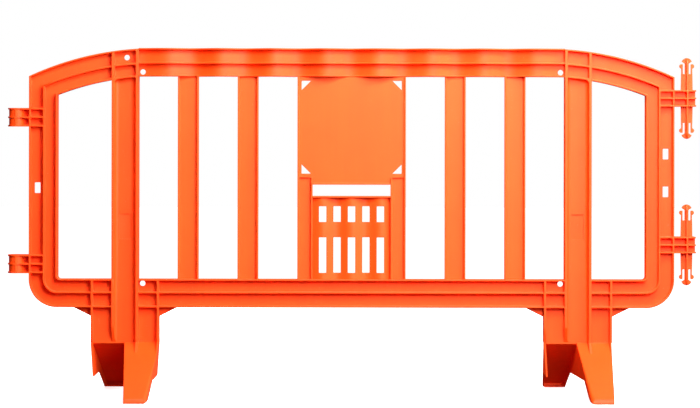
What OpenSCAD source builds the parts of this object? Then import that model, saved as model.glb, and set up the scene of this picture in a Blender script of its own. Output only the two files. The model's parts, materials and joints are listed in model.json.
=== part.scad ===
// Pedestrian barrier panel: an arched frame of ribbed moulded members on two splayed legs,
// with loops at the left end and snap pins at the right end.
// Millimetres. X runs along the panel, the front faces -Y, Z is up, the ground is Z = 0.

/* [Overall] */
// Length over the loops and the pin brackets
overall_length = 2000; // [1900:10:2100]
// Height of the top edge above the ground
overall_height = 1008; // [980:4:1040]
// Reach of each foot from the middle plane
foot_reach = 260; // [240:5:290]

/* [Frame] */
// How far the loops and brackets stand out from the frame
connector_reach = 63; // [61:1:66]
// Width of the upright end members
stile_width = 82; // [78:1:88]
// Height of the top and bottom rails
rail_height = 82; // [78:1:86]
// Underside of the bottom rail above the ground
rail_clearance = 255; // [240:5:270]
// Drop of the arch from the flat top to the frame's corner
arch_drop = 82; // [74:1:90]
// Half depth of the frame's ribs, front and back of the middle plane
rib_depth = 22; // [20:0.5:24]
// Thickness of the ribs
rib = 4.5; // [4:0.1:4.8]
// Thickness of the floors between the ribs
web = 4.5; // [3.6:0.1:5]
// Radius inside the frame's lower corners
inner_round = 9; // [7:0.5:12]
// Depth of the top rail's wave, from its middle
wave_depth = 12.5; // [8:0.5:14]

/* [Posts and legs] */
// Width of each post
post_width = 78; // [74:1:84]
// Thickness of a post's edge ribs
post_rib = 8; // [6:0.5:10]
// Width of each leg
leg_width = 198; // [190:2:220]
// Thickness of a leg's side flanges
flange = 6; // [5:0.5:7]
// Height at which a leg bends into its feet
bend_height = 154; // [144:2:164]
// Height of the arch under a leg
sole_arch = 55; // [48:1:62]
// Wall of the feet
foot_wall = 5; // [4:0.5:6]
// Width of a foot at the ground
toe_width = 64; // [60:1:70]
// How much the outer side of a foot draws in by the ground
foot_draft = 10; // [6:0.5:12]
// Height of the sloped ledge where a foot's face starts
ledge = 4; // [3:0.5:5]
// Height at which a leg's ribs have run out on a foot's face
fade_height = 122; // [114:1:128]
// Length of a foot's sole along its reach
sole_length = 26; // [22:1:32]
// Height of the toe's lip
toe_height = 14; // [12:1:18]
// Length of a gusset along the bottom rail
gusset_length = 54; // [44:1:60]
// Height of a gusset down the leg
gusset_height = 27; // [24:1:34]
// Width of the blank recess on each post
recess_width = 35; // [30:1:40]
// Height of the blank recess on each post
recess_height = 73; // [66:1:80]
// Depth of the blank recess
recess_depth = 1.5; // [1:0.1:2]

/* [Infill] */
// Width of a slat
slat_width = 60; // [54:1:66]
// Half depth of the ribs on the slats, mullions and sign plate
slat_depth = 14; // [12:0.5:16]
// Width of the sign plate
sign_width = 315; // [300:1:330]
// Height of the sign plate down to the hand hole
sign_height = 314; // [304:1:322]
// How far the plate's sides stop above its lower edge
sign_step = 20; // [16:1:24]
// Distance of the sign plate's front face from the middle plane
sign_front = 8; // [7:0.5:10]
// Leg of the triangular tie holes
tie_leg = 27; // [24:1:30]
// Distance of a tie hole from the plate's edge
tie_edge = 12; // [9:0.5:14]
// Width of the uprights below the sign plate
mullion_width = 44; // [40:1:48]
// Height of the hand hole
hand_hole = 33; // [30:1:38]
// Pitch of the grille's slots
slot_pitch = 42; // [40:0.5:43]
// Width of the grille's slots
slot_width = 21; // [18:0.5:23]
// Depth of the grille's wave, from its middle
grille_wave = 7; // [5:0.5:8]

/* [Holes] */
// Radius of the banner holes and of the hanging hole
hole_r = 8; // [7:0.1:8.2]
// Distance of a banner hole's centre from the rail's inner edge
hole_edge = 13; // [12.8:0.1:14]
// Distance of a banner hole's centre from the post
hole_side = 11.5; // [10:0.1:13]
// Width of the strap slots in the end members
strap_width = 16.5; // [14:0.5:18]
// Height of the strap slots in the end members
strap_height = 31; // [28:0.5:34]

/* [Connectors] */
// Distance of the loop and pin axes from the frame
axis_offset = 38; // [37:0.5:39]
// Radius of the loop's bore
bore_r = 18.5; // [18.2:0.1:19]
// Wall of the loop's tube
loop_wall = 3.5; // [3:0.1:4]
// Radius of the loop's collars
collar_r = 25; // [24.5:0.1:25]
// Height of a loop
loop_height = 54; // [50:1:55]
// Height of a pin bracket
bracket_height = 48; // [44:1:52]
// Drop of the upper bracket's middle below the top of the panel
bracket_drop = 143.5; // [142:0.5:150]
// Clear height between the bottom rail and the lower loop
loop_clear = 16.5; // [12:0.5:24]
// Play between a bracket and the next panel's loop
loop_play = 7; // [6:0.5:9]

/* [Link pins] */
// Length of a pin beyond its bracket
pin_length = 93.5; // [92:0.5:98]
// Half width of a pin at its bracket
pin_half = 17.2; // [16.8:0.1:17.6]
// Thickness of a pin's two crossed blades
blade = 6; // [5:0.1:7]
// Half width of the core between the fingers
core_half = 5.6; // [5:0.1:6]
// Height of a finger's root above the bracket
finger_root = 47.8; // [46:0.2:49]
// Thickness of a snap finger
finger = 4.4; // [4:0.1:4.8]
// Distance of a finger's inner face from the pin's axis
finger_inner = 11.7; // [11.4:0.1:12]
// Radius of a finger's bulb
bulb_r = 6.5; // [6.2:0.1:6.8]
// Height of a bulb's middle above the bracket
bulb_height = 69.5; // [69:0.1:70.5]
// Reach of a bulb from the pin's axis
bulb_reach = 21.8; // [21.2:0.1:22.4]
// Height of the head's neck above the bracket
neck_height = 77.5; // [77:0.1:79]
// Half width of a pin's head
head_half = 14.2; // [13.6:0.1:14.8]
// Height of a head's dome
dome = 10.5; // [10:0.1:11]
// Radial play of a finger's root in its seat
root_play = 0.05; // [0.03:0.01:0.08]

/* [Hidden] */
// Rounds
$fn = 96;
// Cuts run this far past the faces they open
overrun = overall_length / 400;
// Half length of the frame
half = overall_length / 2 - connector_reach;
// Inner edge of an end member
stile_in = half - stile_width;
// Middle of the end members' middle rib, and its share of the width
stile_mid_share = 0.525;
stile_mid = half - stile_width * stile_mid_share;
// Middle rib of the top rail, as a share of the height measured from the top
top_mid_share = 0.525;
// Radius of the middle rib where it turns the lower corner into the bottom rail
corner_mid_r = stile_mid - half + rail_height;
// Rail levels
rail_top = rail_clearance + rail_height;
rail_mid = rail_top - corner_mid_r;
beam_low = overall_height - rail_height;
beam_mid = overall_height - rail_height * top_mid_share;
// Middle of each post and leg, as a share of the frame's half length
leg_share = 0.70224;
leg_x = half * leg_share;
post_in = leg_x - post_width / 2;
post_out = leg_x + post_width / 2;
leg_in = leg_x - leg_width / 2;
leg_out = leg_x + leg_width / 2;
// The arch begins a little inside the posts
arch_share = 0.605;
arch_x = half * arch_share;
arch_run = half - arch_x;
arch_r = (arch_run * arch_run + arch_drop * arch_drop) / (2 * arch_drop);
arch_z = overall_height - arch_r;
arch_in_r = arch_r - rail_height;
arch_mid_r = arch_r - rail_height * top_mid_share;
// The mitre between an end member and the arch runs from the outer to the inner corner
mitre_out_z = arch_z + sqrt(arch_r * arch_r - arch_run * arch_run);
mitre_in_z = arch_z + sqrt(arch_in_r * arch_in_r - (stile_in - arch_x) * (stile_in - arch_x));
mitre_fall = mitre_out_z - mitre_in_z;
// Top rail wave: whole periods between the posts, with eased ends
wave_periods = 8;
wave_steps = 12;
wave_end_share = 0.988;
wave_half = post_in * wave_end_share;
wave_period = 2 * wave_half / wave_periods;
wave_full = wave_half - wave_period / 2;
wave_count = wave_periods * wave_steps;
// Infill positions
sign_half = sign_width / 2;
mullion_in = sign_half - mullion_width;
slat_gap = (post_in - sign_half - 2 * slat_width) / 3;
slat_near = sign_half + slat_gap + slat_width / 2;
slat_far = slat_near + slat_gap + slat_width;
sign_low = beam_low - sign_height;
sign_side = sign_low + sign_step;
grille_top = sign_low - hand_hole;
grille_height = grille_top - rail_top;
grille_columns = 5;
grille_row_shares = [[0.077, 0.502], [0.688, 0.877]];
grille_steps = 64;
// Heights of the connectors: the lower ones stand on the bottom rail, the upper ones hang from the top
loop_fall = (bracket_height + loop_height) / 2 + loop_play;
bracket_zs = [rail_top + loop_clear + loop_height / 2 + loop_fall, overall_height - bracket_drop];
axis_x = half + axis_offset;
tube_r = bore_r + loop_wall;
// Strap slots: heights as shares of the panel's height
strap_x = half - stile_width * 0.284;
left_strap_shares = [0.597];
right_strap_shares = [0.588, 0.697];
// Hanging hole in the left post
hang_share = 0.973;
hang_x = leg_x - hole_r / 2;
// Middle of the blank recess, as a share of the panel's height
recess_share = 0.4855;
// Feet: below a ledge the face slopes straight to the toe
slope_run = foot_reach - toe_height / 3;
face_y = -web / 2 - ledge;
face_z = bend_height - ledge;
slope_angle = atan((face_z - toe_height) / (slope_run + face_y));
// Where the ribs have run out on the face, and how far its underside lies below it
fade_y = face_y - (face_z - fade_height) / tan(slope_angle);
face_fall = foot_wall / cos(slope_angle);
// How far a toe's sides stand in from the leg's middle and from its outer side
toe_in = (leg_width / 2 - toe_width + foot_wall) / 2;
toe_out = (leg_width / 2 - toe_width) / 2;
sole_share = 0.5;
// Pins
root_x = finger_inner + finger / 2;
bulb_x = bulb_reach - bulb_r;
head_base = pin_length - dome;
dome_r = (head_half * head_half + dome * dome) / (2 * dome);
shoulder = finger_root - finger / 8;
pin_taper = 0.95;
orange = [1, 0.42, 0.14];
pale_orange = [1, 0.55, 0.27];

// A block from x0 to x1 and z0 to z1, reaching d in front of and behind the middle plane
module slab(x0, x1, z0, z1, d) {
    translate([x0, -d, z0])
        cube([x1 - x0, 2 * d, z1 - z0]);
}

// An outline drawn in X and Z, made d thick on each side of the middle plane
module front_plate(d) {
    rotate([90, 0, 0])
        linear_extrude(height = 2 * d, center = true)
            children();
}

// An outline drawn in X and Y, raised from z0 to z1
module plan_plate(z0, z1) {
    translate([0, 0, z0])
        linear_extrude(height = z1 - z0)
            children();
}

// An outline drawn in Y and Z, made from x0 to x1
module side_plate(x0, x1) {
    translate([x0, 0, 0])
        rotate([90, 0, 90])
            linear_extrude(height = x1 - x0)
                children();
}

// A rectangle from x0 to x1 and z0 to z1
module box2(x0, x1, z0, z1) {
    translate([x0, z0])
        square([x1 - x0, z1 - z0]);
}

// A ring about the arch's centre on the right-hand side
module arch_ring(r_in, r_out) {
    translate([arch_x, arch_z])
        difference() {
            circle(r = r_out);
            circle(r = r_in);
        }
}

// All that lies below the mitre at the right-hand corner
module below_mitre() {
    polygon([[half + stile_width, mitre_out_z + mitre_fall],
        [stile_in - stile_width, mitre_in_z - mitre_fall], [stile_in - stile_width, 0],
        [half + stile_width, 0]]);
}

// A quarter of a ring in the lower right corner
module corner_ring(r_in, r_out) {
    translate([half - rail_height, rail_top])
        intersection() {
            difference() {
                circle(r = r_out);
                circle(r = r_in);
            }
            translate([0, -r_out - overrun])
                square([r_out + overrun, r_out + overrun]);
        }
}

// The rounding of the opening's lower right corner, r_out thick from its centre
module inner_corner(r_in, r_out) {
    translate([stile_in - inner_round, rail_top + inner_round])
        intersection() {
            difference() {
                circle(r = r_out);
                circle(r = r_in);
            }
            translate([0, -r_out - overrun])
                square([r_out + overrun, r_out + overrun]);
        }
}

// The end member's floor
module stile_floor() {
    intersection() {
        union() {
            box2(stile_in, half, rail_top, overall_height);
            translate([half - rail_height, rail_top])
                intersection() {
                    circle(r = rail_height);
                    translate([0, -rail_height])
                        square([rail_height, rail_height]);
                }
            box2(stile_in - inner_round, half - rail_height, rail_clearance, rail_top);
            difference() {
                box2(stile_in - inner_round, stile_in, rail_top, rail_top + inner_round);
                translate([stile_in - inner_round, rail_top + inner_round])
                    circle(r = inner_round);
            }
        }
        below_mitre();
    }
}

// The end member's three ribs, turning the lower corner
module stile_ribs() {
    intersection() {
        union() {
            box2(half - rib, half, rail_top, overall_height);
            corner_ring(rail_height - rib, rail_height);
            box2(stile_in - inner_round, half - rail_height, rail_clearance, rail_clearance + rib);
            box2(stile_mid - rib / 2, stile_mid + rib / 2, rail_top, overall_height);
            corner_ring(corner_mid_r - rib / 2, corner_mid_r + rib / 2);
            box2(stile_in - inner_round, half - rail_height, rail_mid - rib / 2, rail_mid + rib / 2);
            box2(stile_in, stile_in + rib, rail_top + inner_round, overall_height);
            inner_corner(inner_round, inner_round + rib);
        }
        below_mitre();
    }
}

// The right-hand end member; zs and h place the short ribs behind its connectors
module stile(zs, h, strap_shares) {
    difference() {
        union() {
            front_plate(web / 2)
                stile_floor();
            front_plate(rib_depth)
                stile_ribs();
            for (z = zs)
                for (level = [-h / 2, -rib / 2, h / 2 - rib])
                    slab(stile_mid, half - rib / 2, z + level, z + level + rib, rib_depth);
        }
        for (share = strap_shares)
            translate([strap_x - strap_width / 2, -web, share * overall_height - strap_height / 2])
                cube([strap_width, 2 * web, strap_height]);
    }
}

module left_stile() {
    color(orange)
        mirror([1, 0, 0])
            stile([for (z = bracket_zs) z - loop_fall], loop_height, left_strap_shares);
}

module right_stile() {
    color(orange)
        stile(bracket_zs, bracket_height, right_strap_shares);
}

// The three arched ribs cut to a stretch of the right-hand half
module arch_ribs(x0, x1) {
    intersection() {
        union() {
            arch_ring(arch_r - rib, arch_r);
            arch_ring(arch_mid_r - rib / 2, arch_mid_r + rib / 2);
            arch_ring(arch_in_r, arch_in_r + rib);
        }
        box2(x0, x1, mitre_in_z - rail_height, overall_height);
    }
}

// The right-hand end of the top rail, from the post to the mitre
module top_rail_end() {
    front_plate(web / 2)
        difference() {
            intersection() {
                arch_ring(arch_in_r, arch_r);
                box2(post_out, half, mitre_in_z - rail_height, overall_height);
            }
            below_mitre();
        }
    front_plate(rib_depth)
        difference() {
            arch_ribs(post_out, half);
            below_mitre();
        }
}

module top_rail_left() {
    color(orange)
        mirror([1, 0, 0])
            top_rail_end();
}

module top_rail_right() {
    color(orange)
        top_rail_end();
}

// Plan of the top rail's wave: how far its middle stands behind the middle plane at x
function wave_swing(x) = abs(x) < wave_full
    ? wave_depth * cos(360 * x / wave_period)
    : -wave_depth / 2 * (1 - cos(360 * x / wave_period));

function wave_xs() = [for (i = [0 : wave_count]) -wave_half + 2 * wave_half * i / wave_count];

function wave_edge(d) = concat([[-post_in, d]],
    [for (x = wave_xs()) [x, wave_swing(x) + d]], [[post_in, d]]);

function backwards(points) = [for (i = [len(points) - 1 : -1 : 0]) points[i]];

module wave_strip(d) {
    polygon(concat(wave_edge(-d), backwards(wave_edge(d))));
}

// A round hole through the floors, along Y
module round_hole(x, z) {
    translate([x, 0, z])
        rotate([90, 0, 0])
            cylinder(r = hole_r, h = 4 * web, center = true);
}

module top_rail_centre() {
    color(orange)
        difference() {
            union() {
                plan_plate(beam_low, overall_height)
                    wave_strip(web / 2);
                for (z = [beam_low, beam_mid - rib / 2, overall_height - rib])
                    plan_plate(z, z + rib)
                        wave_strip(rib_depth);
            }
            for (side = [-1, 1])
                round_hole(side * (post_in - hole_side), beam_low + hole_edge);
        }
}

// A straight stretch of the bottom rail
module rail_stretch(x0, x1) {
    slab(x0, x1, rail_clearance, rail_top, web / 2);
    slab(x0, x1, rail_clearance, rail_clearance + rib, rib_depth);
    slab(x0, x1, rail_mid - rib / 2, rail_mid + rib / 2, rib_depth);
    slab(x0, x1, rail_top - rib, rail_top, rib_depth);
}

module bottom_rail_left() {
    color(orange)
        rail_stretch(inner_round - stile_in, -leg_out);
}

module bottom_rail_centre() {
    color(orange)
        rail_stretch(-leg_in, leg_in);
}

module bottom_rail_right() {
    color(orange)
        rail_stretch(leg_out, stile_in - inner_round);
}

// The right-hand post, up through the top rail
module post() {
    recess_z = recess_share * overall_height;
    difference() {
        union() {
            front_plate(web / 2)
                intersection() {
                    box2(post_in, post_out, rail_top, overall_height);
                    arch_ring(0, arch_r);
                }
            front_plate(rib_depth) {
                intersection() {
                    union() {
                        box2(post_in, post_in + post_rib, rail_top, overall_height);
                        box2(post_out - post_rib, post_out, rail_top, overall_height);
                    }
                    arch_ring(0, arch_r);
                }
                arch_ribs(post_in, post_out);
            }
        }
        translate([leg_x - recess_width / 2, -web, recess_z - recess_height / 2])
            cube([recess_width, web / 2 + recess_depth, recess_height]);
    }
}

module left_post() {
    color(orange)
        difference() {
            mirror([1, 0, 0])
                post();
            round_hole(-hang_x, hang_share * overall_height);
        }
}

module right_post() {
    color(orange)
        post();
}

// A post's edge rib carried down the leg: it runs straight onto the front foot and fades out behind
module leg_rib(x0) {
    side_plate(x0, x0 + post_rib)
        polygon([[-rib_depth, bend_height], [-rib_depth, rail_top], [rib_depth, rail_top],
            [rib_depth, bend_height + rail_height / 2], [web / 2, bend_height]]);
}

// A leg between the bend and the bottom rail's top, about X = 0: the rail's ribs stop at the post's ribs
module leg() {
    reach = leg_width / 2;
    slab(-reach, reach, bend_height, rail_top, web / 2);
    slab(-reach, flange - reach, bend_height, rail_top, rib_depth);
    slab(reach - flange, reach, bend_height, rail_top, rib_depth);
    for (turn = [0, 180])
        rotate([0, 0, turn]) {
            for (z = [rail_clearance, rail_mid - rib / 2, rail_top - rib])
                slab(post_width / 2, reach, z, z + rib, rib_depth);
            leg_rib(post_width / 2 - post_rib);
        }
}

// A leg with its banner hole; side is -1 on the left and 1 on the right
module placed_leg(side) {
    difference() {
        translate([side * leg_x, 0, 0])
            leg();
        round_hole(side * (post_in - hole_side), rail_top - hole_edge);
    }
}

module left_leg() {
    color(orange)
        placed_leg(-1);
}

module right_leg() {
    color(orange)
        placed_leg(1);
}

// Plan of a foot: its inner wall lies on the leg's middle and stops at the middle plane
module foot_plan() {
    wide = leg_width / 2;
    mid = foot_wall / 2;
    polygon([[-mid, 0], [mid, 0], [mid, rib_depth], [wide, rib_depth], [wide, -web / 2],
        [wide - toe_out, -foot_reach], [toe_in - mid, -foot_reach], [-mid, -web / 2]]);
}

// Plan of the hollow inside a foot
module hollow_plan() {
    wide = leg_width / 2 - foot_wall;
    mid = foot_wall / 2;
    polygon([[mid, rib_depth + overrun], [wide, rib_depth + overrun], [wide, -web / 2],
        [wide - toe_out, -foot_reach], [toe_in + mid, -foot_reach], [mid, -web / 2]]);
}

// Front view of a foot's drawn-in outer side, inset by t and run past the ends by e
module foot_front(t, e) {
    wide = leg_width / 2 - t;
    lean = foot_draft / bend_height;
    polygon([[-foot_wall, bend_height + e], [wide + lean * e, bend_height + e],
        [wide - foot_draft - lean * e, -e], [-foot_wall, -e]]);
}

// The end of a rib or flange that runs out on a foot's face
module run_out(x0, thick) {
    side_plate(x0, x0 + thick)
        polygon([[-web / 2, bend_height], [-rib_depth, bend_height], [fade_y, fade_height - foot_wall / 2],
            [face_y, face_z - foot_wall / 2], [-web / 2, face_z]]);
}

// Height of the underside of a foot's face at y
function under_face(y) = face_z - face_fall - (face_y - y) * tan(slope_angle);

// A front foot, about the leg's middle: a sloped face, two side walls and a short sole
module foot() {
    wide = leg_width / 2;
    sole_in = -foot_reach + sole_length;
    toe_back = -slope_run + foot_wall;
    difference() {
        intersection() {
            union() {
                side_plate(-foot_wall, wide)
                    polygon([[rib_depth, bend_height], [-web / 2, bend_height], [face_y, face_z],
                        [-slope_run, toe_height], [-foot_reach, toe_height / 3], [-foot_reach, 0],
                        [sole_in, 0], [-foot_reach * sole_share, sole_arch], [rib_depth, sole_arch]]);
                run_out(post_width / 2 - post_rib, post_rib);
                run_out(wide - flange, flange);
            }
            plan_plate(0, bend_height)
                foot_plan();
            front_plate(foot_reach + overrun)
                foot_front(0, 0);
        }
        intersection() {
            side_plate(0, wide)
                polygon([[rib_depth + overrun, bend_height + overrun], [web / 2, bend_height + overrun],
                    [web / 2, under_face(web / 2)], [toe_back, under_face(toe_back)], [toe_back, foot_wall],
                    [sole_in, foot_wall], [sole_in, -overrun], [rib_depth + overrun, -overrun]]);
            plan_plate(-overrun, bend_height + overrun)
                hollow_plan();
            front_plate(foot_reach + overrun)
                foot_front(foot_wall, overrun);
        }
    }
}

module left_front_foot() {
    color(orange)
        translate([-leg_x, 0, 0])
            foot();
}

module left_rear_foot() {
    color(orange)
        translate([-leg_x, 0, 0])
            rotate([0, 0, 180])
                foot();
}

module right_front_foot() {
    color(orange)
        translate([leg_x, 0, 0])
            foot();
}

module right_rear_foot() {
    color(orange)
        translate([leg_x, 0, 0])
            rotate([0, 0, 180])
                foot();
}

// A gusset in the corner under the rail, running towards +X from the leg's flange at X = 0
module gusset() {
    front_plate(web / 2)
        polygon([[0, rail_clearance], [gusset_length, rail_clearance],
            [0, rail_clearance - gusset_height]]);
}

module left_outer_gusset() {
    color(orange)
        mirror([1, 0, 0])
            translate([leg_out, 0, 0])
                gusset();
}

module left_inner_gusset() {
    color(orange)
        translate([-leg_in, 0, 0])
            gusset();
}

module right_inner_gusset() {
    color(orange)
        mirror([1, 0, 0])
            translate([-leg_in, 0, 0])
                gusset();
}

module right_outer_gusset() {
    color(orange)
        translate([leg_out, 0, 0])
            gusset();
}

// An upright channel between z0 and z1, with a rib along each edge
module channel(x, width, z0, z1) {
    slab(x - width / 2, x + width / 2, z0, z1, web / 2);
    slab(x - width / 2, x - width / 2 + rib, z0, z1, slat_depth);
    slab(x + width / 2 - rib, x + width / 2, z0, z1, slat_depth);
}

module slat_1() {
    color(pale_orange)
        channel(-slat_far, slat_width, rail_top, beam_low);
}

module slat_2() {
    color(pale_orange)
        channel(-slat_near, slat_width, rail_top, beam_low);
}

module slat_3() {
    color(pale_orange)
        channel(slat_near, slat_width, rail_top, beam_low);
}

module slat_4() {
    color(pale_orange)
        channel(slat_far, slat_width, rail_top, beam_low);
}

module left_mullion() {
    color(pale_orange)
        channel(-sign_half + mullion_width / 2, mullion_width, rail_top, sign_side);
}

module right_mullion() {
    color(pale_orange)
        channel(sign_half - mullion_width / 2, mullion_width, rail_top, sign_side);
}

// A triangular tie hole with its square corner at the origin
module tie_hole() {
    polygon([[0, 0], [tie_leg, 0], [0, tie_leg]]);
}

module sign_plate() {
    color(pale_orange) {
        translate([0, web / 2 - sign_front, 0])
            front_plate(web / 2)
                difference() {
                    union() {
                        box2(-sign_half, sign_half, sign_side, beam_low);
                        box2(-mullion_in, mullion_in, sign_low, sign_side);
                    }
                    for (side = [0, 1])
                        mirror([side, 0]) {
                            translate([tie_edge - sign_half, beam_low - tie_edge])
                                mirror([0, 1])
                                    tie_hole();
                            translate([tie_edge - sign_half, sign_side + tie_edge])
                                tie_hole();
                        }
                }
        slab(-sign_half, rib - sign_half, sign_side, beam_low, slat_depth);
        slab(sign_half - rib, sign_half, sign_side, beam_low, slat_depth);
        slab(-mullion_in, mullion_in, sign_low, sign_low + rib, slat_depth);
    }
}

// Plan of the grille's wave, with the middle slots on its front crests
function grille_edge(d) = [for (i = [0 : grille_steps])
    let (x = -mullion_in + 2 * mullion_in * i / grille_steps)
    [x, d - grille_wave * cos(180 * x / slot_pitch)]];

module grille() {
    color(pale_orange) {
        difference() {
            plan_plate(rail_top, grille_top - rib / 2)
                polygon(concat(grille_edge(-web / 2), backwards(grille_edge(web / 2))));
            for (i = [0 : grille_columns - 1])
                for (row = grille_row_shares)
                    slab((i - (grille_columns - 1) / 2) * slot_pitch - slot_width / 2,
                        (i - (grille_columns - 1) / 2) * slot_pitch + slot_width / 2,
                        rail_top + row[0] * grille_height, rail_top + row[1] * grille_height, rib_depth);
        }
        slab(-mullion_in, mullion_in, grille_top - rib, grille_top, slat_depth);
    }
}

// A loop at the left end, about the middle of its height
module loop(z) {
    low = z - loop_height / 2;
    translate([-axis_x, 0, 0])
        difference() {
            union() {
                plan_plate(low, low + loop_height)
                    circle(r = tube_r);
                for (level = [0, loop_height / 2 - rib / 2, loop_height - rib])
                    plan_plate(low + level, low + level + rib) {
                        circle(r = collar_r);
                        translate([0, -rib_depth])
                            square([axis_offset, 2 * rib_depth]);
                    }
                slab(-rib / 2, rib / 2, low, low + loop_height, collar_r - rib / 4);
                slab(0, axis_offset, low, low + loop_height, web / 2);
            }
            plan_plate(low - overrun, low + loop_height + overrun)
                circle(r = bore_r);
        }
}

module upper_loop() {
    color(orange)
        loop(bracket_zs[1] - loop_fall);
}

module lower_loop() {
    color(orange)
        loop(bracket_zs[0] - loop_fall);
}

// A bracket at the right end that carries a link pin above and below
module bracket(z) {
    low = z - bracket_height / 2;
    high = z + bracket_height / 2;
    end = half + connector_reach;
    slab(half, end, low, high, web / 2);
    for (level = [low, z - rib / 2, high - rib])
        slab(half, end, level, level + rib, rib_depth);
    slab(axis_x - rib / 2, axis_x + rib / 2, low, high, rib_depth);
}

module upper_bracket() {
    color(orange)
        bracket(bracket_zs[1]);
}

module lower_bracket() {
    color(orange)
        bracket(bracket_zs[0]);
}

// The dome on a pin's end
module dome_cap() {
    intersection() {
        translate([0, pin_length - dome_r])
            circle(r = dome_r);
        translate([-head_half, head_base])
            square([2 * head_half, dome]);
    }
}

// A link pin standing on Z = 0: two crossed blades, a slit for each finger and a domed head
module pin() {
    front_plate(blade / 2)
        difference() {
            union() {
                polygon([[-pin_half, 0], [pin_half, 0], [pin_half * pin_taper, shoulder],
                    [-pin_half * pin_taper, shoulder]]);
                translate([-core_half, 0])
                    square([2 * core_half, head_base]);
                polygon([[-core_half, neck_height], [core_half, neck_height], [head_half, head_base],
                    [-head_half, head_base]]);
                dome_cap();
            }
            for (side = [-1, 1])
                translate([side * root_x, finger_root])
                    circle(r = finger / 2 + root_play);
        }
    rotate([0, 0, 90])
        front_plate(rib / 2) {
            polygon([[-pin_half, 0], [pin_half, 0], [pin_half * pin_taper, neck_height],
                [head_half, head_base], [-head_half, head_base], [-pin_half * pin_taper, neck_height]]);
            dome_cap();
        }
}

// A snap finger on a pin's +X side
module snap_finger() {
    front_plate(blade / 2) {
        translate([root_x, finger_root])
            circle(r = finger / 2);
        box2(finger_inner, finger_inner + finger, finger_root, bulb_height);
        intersection() {
            translate([bulb_x, bulb_height])
                circle(r = bulb_r);
            box2(finger_inner, bulb_reach, finger_root, bulb_height + bulb_r);
        }
    }
}

// Puts a pin or finger on a bracket: i picks the bracket, up is 1 above it and -1 below it
module on_bracket(i, up) {
    translate([axis_x, 0, bracket_zs[i] + up * bracket_height / 2])
        mirror([0, 0, up > 0 ? 0 : 1])
            children();
}

module upper_pin_top() {
    color(orange)
        on_bracket(1, 1)
            pin();
}

module upper_pin_bottom() {
    color(orange)
        on_bracket(1, -1)
            pin();
}

module lower_pin_top() {
    color(orange)
        on_bracket(0, 1)
            pin();
}

module lower_pin_bottom() {
    color(orange)
        on_bracket(0, -1)
            pin();
}

module upper_top_outer_finger() {
    color(pale_orange)
        on_bracket(1, 1)
            snap_finger();
}

module upper_top_inner_finger() {
    color(pale_orange)
        on_bracket(1, 1)
            mirror([1, 0, 0])
                snap_finger();
}

module upper_bottom_outer_finger() {
    color(pale_orange)
        on_bracket(1, -1)
            snap_finger();
}

module upper_bottom_inner_finger() {
    color(pale_orange)
        on_bracket(1, -1)
            mirror([1, 0, 0])
                snap_finger();
}

module lower_top_outer_finger() {
    color(pale_orange)
        on_bracket(0, 1)
            snap_finger();
}

module lower_top_inner_finger() {
    color(pale_orange)
        on_bracket(0, 1)
            mirror([1, 0, 0])
                snap_finger();
}

module lower_bottom_outer_finger() {
    color(pale_orange)
        on_bracket(0, -1)
            snap_finger();
}

module lower_bottom_inner_finger() {
    color(pale_orange)
        on_bracket(0, -1)
            mirror([1, 0, 0])
                snap_finger();
}

left_stile();
right_stile();
top_rail_left();
top_rail_centre();
top_rail_right();
bottom_rail_left();
bottom_rail_centre();
bottom_rail_right();
left_post();
right_post();
left_leg();
right_leg();
left_front_foot();
left_rear_foot();
right_front_foot();
right_rear_foot();
left_outer_gusset();
left_inner_gusset();
right_inner_gusset();
right_outer_gusset();
slat_1();
slat_2();
slat_3();
slat_4();
sign_plate();
left_mullion();
right_mullion();
grille();
upper_loop();
lower_loop();
upper_bracket();
lower_bracket();
upper_pin_top();
upper_pin_bottom();
lower_pin_top();
lower_pin_bottom();
upper_top_inner_finger();
upper_top_outer_finger();
upper_bottom_inner_finger();
upper_bottom_outer_finger();
lower_top_inner_finger();
lower_top_outer_finger();
lower_bottom_inner_finger();
lower_bottom_outer_finger();
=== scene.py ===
# %% [markdown]
# # A pedestrian barrier panel
# The panel is one long moulding in bright orange plastic: an arched frame of ribbed members, two
# splayed legs, loops at its left end and snap pins at its right end.
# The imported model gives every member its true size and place, so it is loaded first as a fixed
# frame. Everything made afterwards is drawn around it, in metres, in the same frame.

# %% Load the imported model
import json
import math

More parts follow.
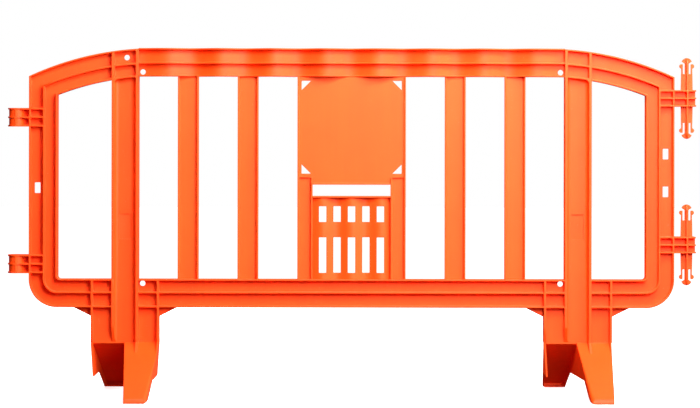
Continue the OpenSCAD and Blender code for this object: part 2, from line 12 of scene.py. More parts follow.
import bmesh
import bpy
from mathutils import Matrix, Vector
from mathutils.bvhtree import BVHTree
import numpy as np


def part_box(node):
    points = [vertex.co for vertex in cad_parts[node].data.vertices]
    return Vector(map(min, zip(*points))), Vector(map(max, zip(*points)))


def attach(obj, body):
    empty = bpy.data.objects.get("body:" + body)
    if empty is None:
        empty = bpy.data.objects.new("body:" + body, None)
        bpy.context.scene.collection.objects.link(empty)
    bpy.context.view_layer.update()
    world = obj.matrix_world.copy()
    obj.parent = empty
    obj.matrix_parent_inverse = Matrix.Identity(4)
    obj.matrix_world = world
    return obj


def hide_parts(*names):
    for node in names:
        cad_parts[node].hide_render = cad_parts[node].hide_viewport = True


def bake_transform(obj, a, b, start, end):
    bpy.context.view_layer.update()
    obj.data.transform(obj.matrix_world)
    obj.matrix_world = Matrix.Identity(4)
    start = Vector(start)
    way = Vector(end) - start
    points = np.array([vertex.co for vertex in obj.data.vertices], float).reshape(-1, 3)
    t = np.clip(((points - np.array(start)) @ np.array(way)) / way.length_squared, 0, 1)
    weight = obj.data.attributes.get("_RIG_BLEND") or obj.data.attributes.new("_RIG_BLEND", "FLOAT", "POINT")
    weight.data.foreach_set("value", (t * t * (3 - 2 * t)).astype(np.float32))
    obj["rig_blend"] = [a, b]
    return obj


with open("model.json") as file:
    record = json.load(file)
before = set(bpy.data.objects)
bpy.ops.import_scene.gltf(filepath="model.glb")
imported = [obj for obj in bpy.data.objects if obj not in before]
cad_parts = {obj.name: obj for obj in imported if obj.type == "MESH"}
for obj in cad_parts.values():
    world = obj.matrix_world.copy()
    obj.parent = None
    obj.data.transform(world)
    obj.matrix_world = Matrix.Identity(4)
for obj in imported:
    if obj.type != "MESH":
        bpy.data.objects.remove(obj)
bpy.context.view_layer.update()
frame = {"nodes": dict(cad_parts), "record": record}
bpy.ops.object.select_all(action="DESELECT")
scene = bpy.context.scene
MM = 0.001

# %% [markdown]
# ## The camera
# The photograph was taken square on with a long lens, at the height of the sign plate: upright
# edges stay parallel, and the soles of the front feet show lower in the picture than those of the
# rear feet. A camera that looks down a little would make the uprights lean, so this one stays level,
# and a small downward shift frames the panel.
# It was held a tenth of a degree out of true, which the long rails show.

# %% Camera
IMAGE_WIDTH = 700
HORIZON_ABOVE_MIDDLE = 64
SENSOR = 36
LENS = 127.2
CAMERA_PLACE = (-0.0048, -7.2, 0.742)
LEVEL = math.radians(90)
ROLL = math.radians(-0.1)

camera_data = bpy.data.cameras.new("camera")
camera_data.sensor_width = SENSOR
camera_data.lens = LENS
camera_data.shift_y = -HORIZON_ABOVE_MIDDLE / IMAGE_WIDTH
camera = bpy.data.objects.new("camera", camera_data)
camera.location = CAMERA_PLACE
camera.rotation_euler = (LEVEL, ROLL, 0)
scene.collection.objects.link(camera)
scene.camera = camera
print("camera stands", -camera.location.y, "m in front")

# %% [markdown]
# ## Sky
# The surround of the photograph is white, and so is the sky that the camera sees.
# An even white sky would also light all sides of a rib alike and flatten the panel, so the panel gets
# a sky of its own: half as bright, strongest from above and from the right, and fading to a dim red
# below and on the left. The red stands for light that orange walls throw at each other in the feet.
# A dot product with a tilted axis makes the fade, and a light path node parts the two skies.

# %% Sky
WHITE = (1, 1, 1)
SKY_ABOVE = (0.52, 0.52, 0.52)
SKY_BELOW = (0.26, 0.014, 0.006)
SKY_AXIS = (0.7, 0, 0.71)
SKY_FADE = (0.0, 0.5)

scene.view_settings.view_transform = "Standard"
world = bpy.data.worlds.new("studio")
world.use_nodes = True
scene.world = world
nodes = world.node_tree.nodes
links = world.node_tree.links
sky = nodes["Background"]
sky.inputs["Strength"].default_value = 1
seen = nodes.new("ShaderNodeBackground")
seen.inputs["Strength"].default_value = 1
seen.inputs["Color"].default_value = (*WHITE, 1)
direction = nodes.new("ShaderNodeTexCoord")
tilt = nodes.new("ShaderNodeVectorMath")
tilt.operation = "DOT_PRODUCT"
tilt.inputs[1].default_value = SKY_AXIS
fade = nodes.new("ShaderNodeMapRange")
fade.inputs["From Min"].default_value = SKY_FADE[0]
fade.inputs["From Max"].default_value = SKY_FADE[1]
shade = nodes.new("ShaderNodeMix")
shade.data_type = "RGBA"
shade.inputs["A"].default_value = (*SKY_BELOW, 1)
shade.inputs["B"].default_value = (*SKY_ABOVE, 1)
path = nodes.new("ShaderNodeLightPath")
choice = nodes.new("ShaderNodeMixShader")
links.new(direction.outputs["Generated"], tilt.inputs[0])
links.new(tilt.outputs["Value"], fade.inputs["Value"])
links.new(fade.outputs["Result"], shade.inputs["Factor"])
links.new(shade.outputs["Result"], sky.inputs["Color"])
links.new(path.outputs["Is Camera Ray"], choice.inputs[0])
links.new(sky.outputs[0], choice.inputs[1])
links.new(seen.outputs[0], choice.inputs[2])
links.new(choice.outputs[0], nodes["World Output"].inputs["Surface"])
print("sky", SKY_ABOVE, "fading to", SKY_BELOW)

# %% [markdown]
# ## Soft lights
# In the photograph each rib throws a thin shade below it and to its left, and the right half of the
# panel is the brighter one. That calls for a broad soft key light high on the right, in front.
# A weak one further to the side keeps the right ends bright, and a long strip overhead lights the
# upper sides of the rails. A sun lamp would be simpler, but its shadows are hard.
# A fourth light behind shows the back in other views. It stays out of reflections, because it would
# whiten the edges that the front camera sees.

# %% Soft lights
# Each light's place, what it is aimed at, its width and height in metres, and its power in watts
LIGHTS = {
    "key": ((1.15, -2.8, 1.7), (0, 0, 0.75), 1.3, 1.3, 136),
    "side": ((3.2, -1.6, 1.3), (0, 0, 0.6), 1.2, 1.6, 38),
    "overhead": ((0.7, -1.2, 2.0), (0.1, 0, 0.8), 3.0, 0.5, 112),
    "back": ((-1.2, 3.6, 1.9), (0, 0, 0.6), 1.6, 1.6, 150),
}
for name, (place, aim, width, tall, power) in LIGHTS.items():
    light_data = bpy.data.lights.new(name, "AREA")
    light_data.shape = "RECTANGLE"
    light_data.size = width
    light_data.size_y = tall
    light_data.energy = power
    light = bpy.data.objects.new(name, light_data)
    light.location = place
    light.rotation_euler = (Vector(aim) - Vector(place)).to_track_quat("-Z", "Y").to_euler()
    light.visible_glossy = name != "back"
    scene.collection.objects.link(light)
print("lights", list(LIGHTS))

# %% [markdown]
# ## Floor
# The panel stands on white ground that runs on into the white surround, so a plain pale plane will do.
# It glows a little, so that it stays white where the panel shades it.
# It takes no part in lighting the panel, because a bright floor would light the hollow feet from below.

# %% Floor
FLOOR_SIZE = 40
FLOOR_COLOUR = (0.9, 0.9, 0.9)
FLOOR_ROUGHNESS = 0.9
FLOOR_GLOW = 0.75

bpy.ops.mesh.primitive_plane_add(size=FLOOR_SIZE, location=(0, 0, 0))
floor = bpy.context.object
floor.name = "floor"
floor.visible_diffuse = False
floor.visible_glossy = False
floor_paint = bpy.data.materials.new("floor_paint")
floor_paint.use_nodes = True
shader = floor_paint.node_tree.nodes["Principled BSDF"]
shader.inputs["Base Color"].default_value = (*FLOOR_COLOUR, 1)
shader.inputs["Roughness"].default_value = FLOOR_ROUGHNESS
shader.inputs["Emission Color"].default_value = (*WHITE, 1)
shader.inputs["Emission Strength"].default_value = FLOOR_GLOW
floor.data.materials.append(floor_paint)
print("floor", tuple(floor.dimensions))

# %% [markdown]
# ## The plastic
# The real panel is moulded in one shot from polyethylene coloured through, so every piece shares one
# orange with a satin skin: soft broad highlights, a faint mottle where the melt cooled, fine flow
# streaks along the members, and small paler scuffs.
# A painted texture would need every piece unwrapped. Noise on object coordinates needs nothing, and
# since the pieces sit at the origin, the pattern runs on from one member to the next as on one moulding.

# %% Noise and colour bands


def noise(tree, place, recipe):
    """Cloudy noise; the recipe gives its scale, its detail and its stretch along the axes."""
    scale, detail, stretch = recipe
    stretched = tree.nodes.new("ShaderNodeMapping")
    stretched.inputs["Scale"].default_value = stretch
    tree.links.new(place, stretched.inputs["Vector"])
    cloud = tree.nodes.new("ShaderNodeTexNoise")
    cloud.inputs["Scale"].default_value = scale
    cloud.inputs["Detail"].default_value = detail
    tree.links.new(stretched.outputs["Vector"], cloud.inputs["Vector"])
    return cloud.outputs["Fac"]


def ramp(tree, value, band, colours):
    """Turns a value into a colour: the first one below the band, the second one above it."""
    steps = tree.nodes.new("ShaderNodeValToRGB")
    for element, position, colour in zip(steps.color_ramp.elements, band, colours):
        element.position = position
        element.color = (*colour, 1)
    tree.links.new(value, steps.inputs["Fac"])
    return steps.outputs["Color"]


print("node helpers", noise.__name__, ramp.__name__)

# %% Mixes and bumps


def mix(tree, share, a, b):
    """Mixes two colours; each of the three may be a fixed value or another node's output."""
    blend = tree.nodes.new("ShaderNodeMix")
    blend.data_type = "RGBA"
    for socket, value in (("Factor", share), ("A", a), ("B", b)):
        if isinstance(value, bpy.types.NodeSocket):
            tree.links.new(value, blend.inputs[socket])
        else:
            blend.inputs[socket].default_value = value
    return blend.outputs["Result"]


def bump(tree, height, strength, distance, under=None):
    """Lets a value push the surface in and out, on top of another bump if there is one under it."""
    relief = tree.nodes.new("ShaderNodeBump")
    relief.inputs["Strength"].default_value = strength
    relief.inputs["Distance"].default_value = distance
    tree.links.new(height, relief.inputs["Height"])
    if under is not None:
        tree.links.new(under, relief.inputs["Normal"])
    return relief.outputs["Normal"]


print("node helpers", mix.__name__, bump.__name__)

# %% Recipes for the plastic
# Each noise is given by its scale, its detail and its stretch along the axes
BLACK = (0, 0, 0)
EVEN = (1, 1, 1)
CLOUDS, CLOUD_BAND = (9, 4, EVEN), (0.35, 0.68)
STREAKS, STREAK_BAND = (60, 2, (1, 1, 0.06)), (0.4, 0.62)
STREAK_SHARE = 0.35
SCUFFS, SCUFF_BAND = (130, 5, EVEN), (0.66, 0.8)
SCUFF_GAIN, SCUFF_LIFT = 1.15, 0.02
SATIN, SATIN_RANGE = (22, 3, (1, 1, 0.4)), (0.46, 0.60)
GRAIN, GRAIN_STRENGTH, GRAIN_DEPTH = (900, 2, EVEN), 0.08, 0.3 * MM
SINK, SINK_STRENGTH, SINK_DEPTH = (14, 2, (1, 1, 0.5)), 0.25, 2.0 * MM
SPECULAR = 0.22
print("roughness from", SATIN_RANGE[0], "to", SATIN_RANGE[1])

# %% Orange plastic


def orange_plastic(name, colour, mottle):
    """A satin moulded plastic: colour is its middle tone and mottle how far the tone wanders."""
    material = bpy.data.materials.new(name)
    material.use_nodes = True
    tree = material.node_tree
    skin = tree.nodes["Principled BSDF"].inputs
    place = tree.nodes.new("ShaderNodeTexCoord").outputs["Object"]
    tones = (tuple(c * (1 - mottle) for c in colour),
             tuple(min(1, c * (1 + mottle)) for c in colour))
    clouds = ramp(tree, noise(tree, place, CLOUDS), CLOUD_BAND, tones)
    streaks = ramp(tree, noise(tree, place, STREAKS), STREAK_BAND, tones)
    tone = mix(tree, STREAK_SHARE, clouds, streaks)
    # Scuffs: small pale patches where a fine noise peaks
    scuff = ramp(tree, noise(tree, place, SCUFFS), SCUFF_BAND, (BLACK, WHITE))
    pale = tuple(min(1, c * SCUFF_GAIN + SCUFF_LIFT) for c in colour)
    tree.links.new(mix(tree, scuff, tone, (*pale, 1)), skin["Base Color"])
    # Satin skin: the roughness wanders with clouds of its own
    satin = tree.nodes.new("ShaderNodeMapRange")
    satin.inputs["To Min"].default_value = SATIN_RANGE[0]
    satin.inputs["To Max"].default_value = SATIN_RANGE[1]
    tree.links.new(noise(tree, place, SATIN), satin.inputs["Value"])
    tree.links.new(satin.outputs["Result"], skin["Roughness"])
    # A fine grain from the spark-eroded mould, and slow waves where the walls sank as they cooled
    grain = bump(tree, noise(tree, place, GRAIN), GRAIN_STRENGTH, GRAIN_DEPTH)
    sink = bump(tree, noise(tree, place, SINK), SINK_STRENGTH, SINK_DEPTH, grain)
    tree.links.new(sink, skin["Normal"])
    skin["Specular IOR Level"].default_value = SPECULAR
    return material


FRAME_ORANGE = (0.83, 0.061, 0.003)
INFILL_ORANGE = (0.84, 0.068, 0.004)
FRAME_MOTTLE = 0.07
INFILL_MOTTLE = 0.06
plastic = {"frame": orange_plastic("frame_plastic", FRAME_ORANGE, FRAME_MOTTLE),
           "infill": orange_plastic("infill_plastic", INFILL_ORANGE, INFILL_MOTTLE),
           "finger": orange_plastic("finger_plastic", FRAME_ORANGE, FRAME_MOTTLE)}
print("plastics", sorted(plastic))

# %% Give every node its plastic
slot_of = {subpart["node"]: subpart["material_slot"] for subpart in frame["record"]["subparts"]}
for name, slot_name in slot_of.items():
    node = frame["nodes"][name]
    node.data.materials.clear()
    node.data.materials.append(plastic[slot_name])
print("nodes with a plastic", len(slot_of))

# %% [markdown]
# ## Rounded members
# The solids have knife-sharp edges, but a mould leaves every free edge with a small round and every
# root of a rib with a fillet, and those rounds are what catches the light along the ribs.
# A bevel could be drawn by hand on each member, but all the members have the same kinds of edge, so
# one helper does it: it copies a member, merges the copy's loose triangles, and bevels the roots
# first and the edges after.
# An edge that is buried in the next member stays sharp, so that the two meet flush as one moulding.

# %% What lies where
solids = {}
for name, node in frame["nodes"].items():
    low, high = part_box(name)
    skin = BVHTree.FromPolygons([v.co for v in node.data.vertices],
                                [p.vertices for p in node.data.polygons])
    solids[name] = (low, high, skin)
# A way that runs along no face of the panel
PROBE = Vector((0.5773, 0.6011, 0.5526)).normalized()
STEP_ON = 0.001 * MM


def inside(point, skin):
    """A ray from a point inside a closed skin crosses it an odd number of times."""
    crossings = 0
    place = skin.ray_cast(point, PROBE)[0]
    while place is not None:
        crossings += 1
        place = skin.ray_cast(place + PROBE * STEP_ON, PROBE)[0]
    return crossings % 2 == 1


def boxed(point, low, high, room=0):
    """True where a point lies in a box, or no further than room outside it."""
    return all(low[i] - room <= point[i] <= high[i] + room for i in range(3))


def in_neighbour(point, own):
    """True where a point lies in a solid other than own."""
    for name, (low, high, skin) in solids.items():
        if name != own and boxed(point, low, high) and inside(point, skin):
            return True
    return False


print("solids", len(solids))

# %% Copy a member and merge it
MERGE = 0.001 * MM
FLAT = math.radians(0.6)
AXES = {"x": Vector((1, 0, 0)), "z": Vector((0, 0, 1))}


def edit(piece):
    """Opens one piece in edit mode with nothing selected, ready for edge work."""
    bpy.ops.object.select_all(action="DESELECT")
    piece.select_set(True)
    bpy.context.view_layer.objects.active = piece
    bpy.ops.object.mode_set(mode="EDIT")
    bpy.ops.mesh.select_mode(type="EDGE")
    bpy.ops.mesh.select_all(action="DESELECT")


def merged_copy(node_name, piece_name, cuts=()):
    """A copy with its triangles merged into whole flats; each cut is an axis and a place along it."""
    piece = bpy.data.objects.new(piece_name, frame["nodes"][node_name].data.copy())
    scene.collection.objects.link(piece)
    edit(piece)
    bpy.ops.mesh.select_all(action="SELECT")
    bpy.ops.mesh.customdata_custom_splitnormals_clear()
    bpy.ops.mesh.remove_doubles(threshold=MERGE)
    for axis, place in cuts:
        bpy.ops.mesh.select_all(action="SELECT")
        bpy.ops.mesh.bisect(plane_co=AXES[axis] * place, plane_no=AXES[axis])
        bpy.ops.mesh.mark_seam()
    bpy.ops.mesh.select_all(action="SELECT")
    bpy.ops.mesh.dissolve_limited(angle_limit=FLAT, delimit={"SEAM"})
    bpy.ops.object.mode_set(mode="OBJECT")
    return piece


print("flat means under", round(math.degrees(FLAT), 2), "degrees")

# %% Split edges where a neighbour starts
CORNER = math.radians(20)
LEAST_STRETCH = 0.5 * MM
ON_EDGE = 0.01 * MM
STOP_DIGITS = 5


def stops_on(origin, along, length, points):
    """How far along an edge the points lie that touch it, in order."""
    stops = set()
    for point in points:
        run = (point - origin).dot(along)
        beside = (point - origin - along * run).length
        if LEAST_STRETCH < run < length - LEAST_STRETCH and beside < ON_EDGE:
            stops.add(round(run, STOP_DIGITS))
    return sorted(stops)


def split_at_neighbours(piece, own):
    """Adds a point on each sharp edge where a neighbour's corner touches it."""
    low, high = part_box(own)
    near = [v.co.copy() for name, node in frame["nodes"].items() if name != own
            for v in node.data.vertices if boxed(v.co, low, high, MM)]
    mesh = bmesh.new()
    mesh.from_mesh(piece.data)
    for edge in list(mesh.edges):
        if abs(edge.calc_face_angle_signed(0)) < CORNER:
            continue
        start, length = edge.verts[0], edge.calc_length()
        origin = start.co.copy()
        along = (edge.verts[1].co - origin) / length
        walked = 0.0
        for run in stops_on(origin, along, length, near):
            share = (run - walked) / edge.calc_length()
            first, start = bmesh.utils.edge_split(edge, start, share)
            edge = next(e for e in start.link_edges if e is not first)
            walked = run
    mesh.to_mesh(piece.data)
    mesh.free()


print("stretches of an edge are split down to", LEAST_STRETCH / MM, "mm")

# %% Find the edges beside a round hole
HOLE_X = 0.6075
ROUND_HOLES = [(-HOLE_X, 0.939), (HOLE_X, 0.939), (-HOLE_X, 0.324), (HOLE_X, 0.324),
               (-0.654, 0.980784)]
HOLE_ROOM = 10 * MM
WALL_ROOM = 10 * MM
TINY = 1e-12


def near_hole(edge):
    """True on a round hole's rim, and so close to it that a wide round would run into the hole."""
    if abs(edge.verts[0].co.y) > WALL_ROOM:
        return False
    a, b = (Vector((v.co.x, v.co.z)) for v in edge.verts)
    along = b - a
    for hole in ROUND_HOLES:
        from_a = Vector(hole) - a
        share = min(1, max(0, from_a.dot(along) / max(along.length_squared, TINY)))
        if (from_a - along * share).length < HOLE_ROOM:
            return True
    return False


print("round holes", len(ROUND_HOLES))

# %% Round the free edges of one kind
LOOK = 0.5 * MM
WIDEST = 20 * MM
FINE = 0.4


def round_edges(piece, own, convex, least, size_of, segments):
    """Bevels the free edges that turn by more than least degrees, each by its size_of in millimetres."""
    mesh = bmesh.new()
    mesh.from_mesh(piece.data)
    weights = mesh.edges.layers.float
    weight = weights.get("bevel_weight_edge") or weights.new("bevel_weight_edge")
    sign = 1 if convex else -1
    chosen = 0
    for edge in mesh.edges:
        edge[weight] = 0
        if edge.calc_face_angle_signed(0) * sign < math.radians(least):
            continue
        middle = (edge.verts[0].co + edge.verts[1].co) / 2
        normals = [face.normal for face in edge.link_faces]
        lean = (normals[0] - normals[1]) * LOOK
        if not (in_neighbour(middle + lean, own) or in_neighbour(middle - lean, own)):
            edge[weight] = (FINE if near_hole(edge) else size_of(middle, normals)) * MM / WIDEST
            chosen += 1
    mesh.to_mesh(piece.data)
    mesh.free()
    rounding = piece.modifiers.new("rounding", "BEVEL")
    rounding.limit_method = "WEIGHT"
    rounding.width = WIDEST
    rounding.segments = segments
    rounding.use_clamp_overlap = False
    bpy.context.view_layer.objects.active = piece
    bpy.ops.object.modifier_apply(modifier=rounding.name)
    return chosen


print("widest round", WIDEST / MM, "mm, beside holes", FINE, "mm")

# %% Finish a piece
SMOOTH = math.radians(35)


def finish_piece(piece, body, slot_name, *nodes):
    """Shades and paints a piece, which stands for its nodes; one that blends gets no body here."""
    bpy.ops.object.select_all(action="DESELECT")
    piece.select_set(True)
    bpy.context.view_layer.objects.active = piece
    bpy.ops.object.shade_smooth_by_angle(angle=SMOOTH)
    weighted = piece.modifiers.new("even_flats", "WEIGHTED_NORMAL")
    weighted.keep_sharp = True
    bpy.ops.object.modifier_apply(modifier=weighted.name)
    piece.data.materials.clear()
    piece.data.materials.append(plastic[slot_name])
    if body:
        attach(piece, body)
    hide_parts(*nodes)


print("edges under", round(math.degrees(SMOOTH)), "degrees shade smooth")

# %% Mould a member
SHARP = 40
ROOT_STEPS = 4
EDGE_STEPS = 3


def moulded(node_name, root_of, edge_of, sharp=SHARP, cuts=(), shape=None):
    """A member with rounded roots and edges; shape is a step that trims the copy first."""
    piece = merged_copy(node_name, node_name + "_moulded", cuts)
    if shape:
        shape(piece)
    split_at_neighbours(piece, node_name)
    roots = round_edges(piece, node_name, False, sharp, root_of, ROOT_STEPS)
    edges = round_edges(piece, node_name, True, sharp, edge_of, EDGE_STEPS)
    finish_piece(piece, "panel", slot_of[node_name], node_name)
    low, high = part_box(node_name)
    out = max(max(low[i] - v.co[i], v.co[i] - high[i])
              for v in piece.data.vertices for i in range(3))
    print(piece.name, "roots", roots, "edges", edges, "out mm", round(out / MM, 2))


def always(size):
    """The same size for every edge, in millimetres."""
    return lambda middle, normals: size


def across(places):
    """Cuts through a member at these places along X."""
    return [("x", place) for place in places]


print("an edge is sharp from", SHARP, "degrees")

# %% [markdown]
# ## Rails, stiles and infill
# These are the straight and arched members: a thin wall with ribs on both sides, pierced by slots and
# holes. A fillet of about two millimetres runs along the roots, and half of that along the free edges.
# A face in Blender can't have a hole in it, so a flat merged around a hole keeps a bridge that a bevel
# trips over. Each such member is therefore cut through at its holes first. The cuts lie in the flats,
# so they don't show.

# %% Rails, stiles and infill
RAILS = ["left_stile", "right_stile", "top_rail_left", "top_rail_centre", "top_rail_right",
         "bottom_rail_left", "bottom_rail_centre", "bottom_rail_right", "left_outer_gusset",
         "left_inner_gusset", "right_inner_gusset", "right_outer_gusset", "upper_bracket",
         "lower_bracket"]
INFILL = ["slat_1", "slat_2", "slat_3", "slat_4", "sign_plate", "left_mullion", "right_mullion"]
HOLES_AT = {"top_rail_centre": [-HOLE_X, -0.590, 0.590, HOLE_X], "left_stile": [-0.913712],
            "right_stile": [0.913712], "sign_plate": [-0.1365, 0.1365]}
RIB_ROOT = 2.2
RIB_EDGE = 1.2
LOW_RIB = (0.926, 0.932)
LOW_RIB_END = 0.62


def rail_root(middle, normals):
    """A fillet, but hardly any on the lowest rib of the top rail, which the banner holes touch."""
    on_low_rib = LOW_RIB[0] < middle.z < LOW_RIB[1] and abs(middle.x) < LOW_RIB_END
    return FINE if on_low_rib else RIB_ROOT


for name in RAILS + INFILL:
    moulded(name, rail_root, always(RIB_EDGE), cuts=across(HOLES_AT.get(name, ())))

# %% [markdown]
# ## Grille
# The grille under the hand hole is a wavy plate with two rows of slots. Its flats are narrower than
# those of the rails, so its rounds are smaller, and beside the crest of the wave there is room for none.

# %% Grille
GRILLE_ROOT = 1.0
SLOT_ROUND = 0.7
CREST = (10 * MM, 12 * MM)
SLOTS_AT = (-0.084, -0.042, 0, 0.042, 0.084)


def slot_edge(middle, normals):
    """A fine round on the grille's slots, and none beside the crest of its wave."""
    return 0 if CREST[0] < abs(middle.x) < CREST[1] else SLOT_ROUND


moulded("grille", always(GRILLE_ROOT), slot_edge, cuts=across(SLOTS_AT))

# %% [markdown]
# ## Posts and legs
# Each post is a gutter: the wall between its two ribs curves up into them, so that its face shades
# softly from one side to the other. The gutter runs on down the leg to the bend.
# A curved wall could be modelled anew, but a wide round at the roots of those two ribs gives the same
# curve, and the cells beside it keep the small one.
# The blank recess on each post is a shallow pocket. Its floor is sunk a little deeper here, so that its
# upper edge throws a shade as in the photograph.

# %% Rounds of the posts and legs
GUTTER_ROUND = 11.5
GUTTER_HALF = 32 * MM
GUTTER_TOP = 0.920
GUTTER_END = 0.200
GUTTER_END_ROUND = 1.2
RECESS_ROUND = 0.3
RECESS_HALF = (19 * MM, 40 * MM)
RECESS_Z = 0.489


def in_recess(place, post_x):
    """True at the blank recess of the post that stands at post_x."""
    return abs(place.x - post_x) < RECESS_HALF[0] and abs(place.z - RECESS_Z) < RECESS_HALF[1]


def gutter_root(post_x):
    """Wide in the gutter about post_x, small in the cells, and hardly any in the blank recess."""
    def size(middle, normals):
        if in_recess(middle, post_x):
            return RECESS_ROUND
        in_gutter = abs(middle.x - post_x) < GUTTER_HALF
        if in_gutter and middle.z < GUTTER_END:
            return GUTTER_END_ROUND
        return GUTTER_ROUND if in_gutter and middle.z < GUTTER_TOP else RIB_ROOT
    return size


def gutter_edge(post_x):
    """A small round on the ribs, and hardly any on the blank recess's rim."""
    return lambda middle, normals: RECESS_ROUND if in_recess(middle, post_x) else RIB_EDGE


print("gutters round out to", GUTTER_ROUND, "mm")

# %% Mould the posts and legs
LEG_X = 0.658
RECESS_FLOOR = -0.75 * MM
RECESS_SINK = 1.9 * MM
ON_FLOOR = 0.1 * MM
CELL_MIDDLES = (0.2765, 0.3165)
LEG_EDGE = 1.0


def deep_recess(post_x):
    """Sinks the floor of the blank recess."""
    def shape(piece):
        edit(piece)
        mesh = bmesh.from_edit_mesh(piece.data)
        for face in mesh.faces:
            middle = face.calc_center_median()
            on_floor = abs(middle.y - RECESS_FLOOR) < ON_FLOOR
            face.select_set(in_recess(middle, post_x) and on_floor)
        bmesh.update_edit_mesh(piece.data)
        bpy.ops.transform.translate(value=(0, RECESS_SINK, 0))
        bpy.ops.object.mode_set(mode="OBJECT")
    return shape


for side, post_x, hole_x in (("left", -LEG_X, -HOLE_X), ("right", LEG_X, HOLE_X)):
    moulded(side + "_post", gutter_root(post_x), gutter_edge(post_x), cuts=across([post_x]),
            shape=deep_recess(post_x))
    cuts = across((hole_x, post_x, 2 * post_x - hole_x))
    cuts += [("z", z) for z in (GUTTER_END, *CELL_MIDDLES)]
    moulded(side + "_leg", gutter_root(post_x), always(LEG_EDGE), cuts=cuts)

# %% [markdown]
# ## Feet
# A foot is a sloped scoop. On the side of the panel's middle its face folds softly into the side wall,
# wider and wider towards the toe, and the toe's lower corner is rolled.
# A bevel that grows along an edge is hard to keep clean where it meets other bevels, so both rounds are
# cut instead: flats are sliced off one after the other, each touching the same cone or cylinder, and
# smooth shading blends them. The other edges get a plain bevel, whose size depends on the way that the
# two faces beside an edge look.

# %% Rounds of the feet
FOOT_ROUND = 1.2
FOLD_EDGE = 2.0
TOE_LIP = 1.6
FLANGE_ROUND = 0.8
FLANGE_FADE = 70 * MM
FACE_UP = (0.8, 0.95)
TOE_FRONT = 0.8
UNDER = -0.08
SOLE_FROM = 100 * MM


def is_scoop(up):
    """True for a face that looks up as the scoop's sloping face does."""
    return FACE_UP[0] < up < FACE_UP[1]


def foot_edge(middle, normals):
    """Small on most edges, a little softer on the scoop's fold and toe, and none under the toe."""
    lower, upper = sorted(n.z for n in normals)
    if lower < UNDER:
        return 0 if abs(middle.y) > SOLE_FROM else FOOT_ROUND
    if abs(middle.y) < FLANGE_FADE:
        return FLANGE_ROUND
    if any(abs(n.y) > TOE_FRONT for n in normals):
        return TOE_LIP
    return FOLD_EDGE if is_scoop(upper) else FOOT_ROUND


print("foot rounds", FLANGE_ROUND, FOOT_ROUND, TOE_LIP, FOLD_EDGE, "mm")

# %% Roll a toe's lower corner
TOE_ROLL = 10 * MM
TOE_TURNS = (10, 27.5, 45, 62.5, 80)
TOE_MIDDLE = 49.5 * MM
TOE_HALF = 32 * MM
WALL_LEAN = 17.5 * MM
FOOT_REACH = 260 * MM


def rolled_toe(piece, leg_x, lean, side):
    """Cuts flats along the foot of the side wall; lean is the side of the leg that the toe lies on."""
    corner = Vector((leg_x + lean * TOE_MIDDLE + side * TOE_HALF, -lean * FOOT_REACH, 0))
    outward = Vector((side * FOOT_REACH, -lean * WALL_LEAN, 0)).normalized()
    middle = corner - outward * TOE_ROLL + Vector((0, 0, TOE_ROLL))
    edit(piece)
    for degrees in TOE_TURNS:
        turn = math.radians(degrees)
        way = outward * math.cos(turn) - Vector((0, 0, math.sin(turn)))
        bpy.ops.mesh.select_all(action="SELECT")
        bpy.ops.mesh.bisect(plane_co=middle + way * TOE_ROLL, plane_no=way, use_fill=True,
                            clear_outer=True)
    bpy.ops.object.mode_set(mode="OBJECT")


print("toes roll by", TOE_ROLL / MM, "mm")

# %% Soften a foot's fold
FOLD_ROUND = 14 * MM
FOLD_SPLIT = 8 * MM
FOLD_START = 15 * MM
FOLD_TURNS = (0.2, 0.4, 0.6, 0.8)
LEAST_FOLD = 70 * MM
SIDEWAYS = 0.9
ABOVE = 0.1 * MM


def fold_of(mesh, side):
    """The fold of the scoop: its upper end, its end at the toe, and the face and side wall beside it."""
    for edge in mesh.edges:
        face, wall = sorted(edge.link_faces, key=lambda f: -f.normal.z)
        beside = is_scoop(face.normal.z) and wall.normal.x * side > SIDEWAYS
        if beside and edge.calc_length() > LEAST_FOLD:
            top, toe = sorted((v.co.copy() for v in edge.verts), key=lambda place: abs(place.y))
            return top, toe, face, wall


def soft_fold(piece, side):
    """Cuts flats along the fold, which touch a cone that opens towards the toe."""
    edit(piece)
    bpy.ops.mesh.select_mode(type="FACE")
    mesh = bmesh.from_edit_mesh(piece.data)
    top, toe, face, wall = fold_of(mesh, side)
    face_way, wall_way = face.normal.copy(), wall.normal.copy()
    face.select_set(True)
    wall.select_set(True)
    bmesh.update_edit_mesh(piece.data)
    along = (toe - top).normalized()
    bpy.ops.mesh.bisect(plane_co=top + along * FOLD_SPLIT, plane_no=along)
    turn = face_way.angle(wall_way)
    growth = FOLD_ROUND / ((toe - top).length - FOLD_START)
    for share in FOLD_TURNS:
        deep = math.cos((share - 0.5) * turn) / math.cos(turn / 2) - 1
        way = wall_way.slerp(face_way, share) + along * growth * deep
        bpy.ops.mesh.select_all(action="DESELECT")
        # The ribs that stand up from the scoop's face keep their shape
        mesh = bmesh.from_edit_mesh(piece.data)
        for face in mesh.faces:
            beyond = (face.calc_center_median() - top).dot(along) > FOLD_SPLIT
            stands_up = max((v.co - top).dot(face_way) for v in face.verts) > ABOVE
            face.select_set(beyond and not stands_up)
        bmesh.update_edit_mesh(piece.data)
        bpy.ops.mesh.bisect(plane_co=top + along * FOLD_START, plane_no=way.normalized(),
                            use_fill=True, clear_outer=True)
    bpy.ops.object.mode_set(mode="OBJECT")


print("folds open to", FOLD_ROUND / MM, "mm at the toe")

# %% Mould the four feet
FOOT_SHARP = 28


def foot_shape(leg_x, lean):
    """The two trims of a foot, both on the side of the panel's middle."""
    def shape(piece):
        side = -1 if leg_x > 0 else 1
        rolled_toe(piece, leg_x, lean, side)
        soft_fold(piece, side)
    return shape


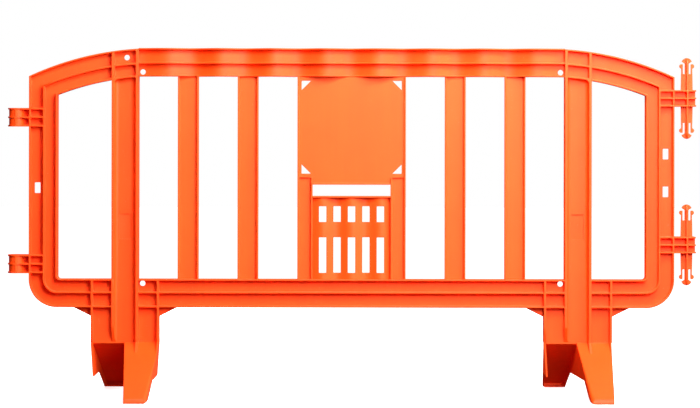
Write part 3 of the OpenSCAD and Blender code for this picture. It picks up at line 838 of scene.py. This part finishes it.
for name, leg_x, lean in (("left_front_foot", -LEG_X, 1), ("left_rear_foot", -LEG_X, -1),
                          ("right_front_foot", LEG_X, 1), ("right_rear_foot", LEG_X, -1)):
    moulded(name, always(FOOT_ROUND), foot_edge, FOOT_SHARP, shape=foot_shape(leg_x, lean))

# %% [markdown]
# ## Loops
# The loops at the left end are short tubes on ribbed arms, which take the pins of the next panel.
# Their collars are thin, so a fine round is enough, and there is none where an arm meets the stile.
# A cut through the tube's axis keeps its ring-shaped rims in two halves that a bevel can follow.

# %% Loops
LOOP_ROUND = 0.4
LOOP_ARM_X = -0.945
LOOP_AXIS_X = -0.975


def loop_edge(middle, normals):
    """A fine round on the loop, and none where its arm meets the stile."""
    return LOOP_ROUND if middle.x < LOOP_ARM_X else 0


for name in ("upper_loop", "lower_loop"):
    moulded(name, loop_edge, loop_edge, cuts=across([LOOP_AXIS_X]))

# %% [markdown]
# ## Pins
# A pin is two crossed blades with a domed head, one above and one below each bracket at the right end.
# The blades get a fine round. The dome is round already, and the rims of the fingers' seats are too
# thin for a bevel, so both are left as they are.

# %% Pins
PIN_ROUND = 0.6
SEAT = 71.8 * MM
SEAT_RIM = 5 * MM
DOME = 102 * MM
BRACKET_Z = {"upper": 0.8645, "lower": 0.4385}


def pin_edge(bracket_z):
    """A fine round everywhere but at the rims of the fingers' seats and on the dome."""
    def size(middle, normals):
        up = abs(middle.z - bracket_z)
        return 0 if abs(up - SEAT) < SEAT_RIM or up > DOME else PIN_ROUND
    return size


for level, bracket_z in BRACKET_Z.items():
    for end in ("top", "bottom"):
        moulded("%s_pin_%s" % (level, end), pin_edge(bracket_z), pin_edge(bracket_z))

# %% [markdown]
# ## Snap fingers
# Each pin has two springy fingers that click behind the next panel's loop. On the real panel a finger
# is a thin strip that starts in a round root, thins out a little and ends in a bulb, and it bends along
# its length.
# A box with bevelled corners would look stiff, so the strip is drawn upwards from its root: a small
# plane is extruded from one section to the next, wider and narrower as the outline goes.
# The bulb's outline follows a circle, and a bevel rounds the corners.

# %% Sections of a finger
# Each section is its height over the root, its inner side and its outer side, in millimetres
INNER_X = 11.7
STEM = [(-2.2, 13.4, 14.4), (-1.6, 12.4, 15.4), (0, INNER_X, 16.1), (8, INNER_X, 15.8),
        (14.8, INNER_X, 16.0)]
BULB_X = 15.3
BULB_R = 6.5
BULB_UP = 21.7
BULB_RISES = [-6.0, -4.6, -2.5, 0, 2.5, 4.6, 5.7, 6.3]

sections = list(STEM)
for rise in BULB_RISES:
    half = math.sqrt(BULB_R ** 2 - rise ** 2)
    inner = max(INNER_X, BULB_X - half) if rise > 0 else INNER_X
    sections.append((BULB_UP + rise, inner, BULB_X + half))
print("sections", len(sections))

# %% Model one finger
FINGER_WIDE = 6 * MM
FINGER_ROUND = 0.8 * MM
FINGER_STEPS = 3
FINGER_SHARP = math.radians(50)

bpy.ops.object.select_all(action="DESELECT")
up, inner, outer = sections[0]
bpy.ops.mesh.primitive_plane_add(size=1, location=(0, 0, 0))
finger = bpy.context.object
finger.name = "finger_master"
bpy.ops.object.mode_set(mode="EDIT")
bpy.ops.mesh.select_all(action="SELECT")
bpy.ops.transform.resize(value=((outer - inner) * MM, FINGER_WIDE, 1), center_override=(0, 0, 0))
bpy.ops.transform.translate(value=((inner + outer) / 2 * MM, 0, up * MM))
for (up, inner, outer), (next_up, next_inner, next_outer) in zip(sections, sections[1:]):
    middle = (next_inner + next_outer) / 2 * MM
    shift = (middle - (inner + outer) / 2 * MM, 0, (next_up - up) * MM)
    bpy.ops.mesh.extrude_region_move(TRANSFORM_OT_translate={"value": shift})
    bpy.ops.transform.resize(value=((next_outer - next_inner) / (outer - inner), 1, 1),
                             center_override=(middle, 0, next_up * MM))
bpy.ops.mesh.select_all(action="SELECT")
bpy.ops.mesh.normals_make_consistent(inside=False)
bpy.ops.object.mode_set(mode="OBJECT")
corners = finger.modifiers.new("corners", "BEVEL")
corners.width = FINGER_ROUND
corners.segments = FINGER_STEPS
corners.limit_method = "ANGLE"
corners.angle_limit = FINGER_SHARP
bpy.ops.object.modifier_apply(modifier=corners.name)
print("finger", [round(d / MM, 2) for d in finger.dimensions])

# %% [markdown]
# ## Place the fingers
# The eight fingers are alike, so the one model is copied, mirrored to its side of a pin and turned up or
# down. A mirrored copy has its faces inside out, and they are flipped back.
# A rigid finger would break away from its pin at the root. So each copy blends from the panel to the
# finger's own body over its lower part, and bends along its length when the finger flexes.

# %% Place the eight fingers
AXIS_X = 0.975
ROOT_X = 13.9 * MM
FLEX_OVER = 14 * MM
for level, bracket_z in BRACKET_Z.items():
    for end, up in (("top", 1), ("bottom", -1)):
        for side, out in (("inner", -1), ("outer", 1)):
            name = "%s_%s_%s_finger" % (level, end, side)
            piece = bpy.data.objects.new(name + "_strip", finger.data.copy())
            scene.collection.objects.link(piece)
            root_z = bracket_z + up * SEAT
            for vertex in piece.data.vertices:
                x, y, z = vertex.co
                vertex.co = (AXIS_X + out * x, y, root_z + up * z)
            if out * up < 0:
                piece.data.flip_normals()
            finish_piece(piece, None, "finger", name)
            root = (AXIS_X + out * ROOT_X, 0, root_z)
            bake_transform(piece, "panel", name, start=root, end=(root[0], 0, root_z + up * FLEX_OVER))
            print(piece.name, [round(c, 4) for c in root])
bpy.data.objects.remove(finger)
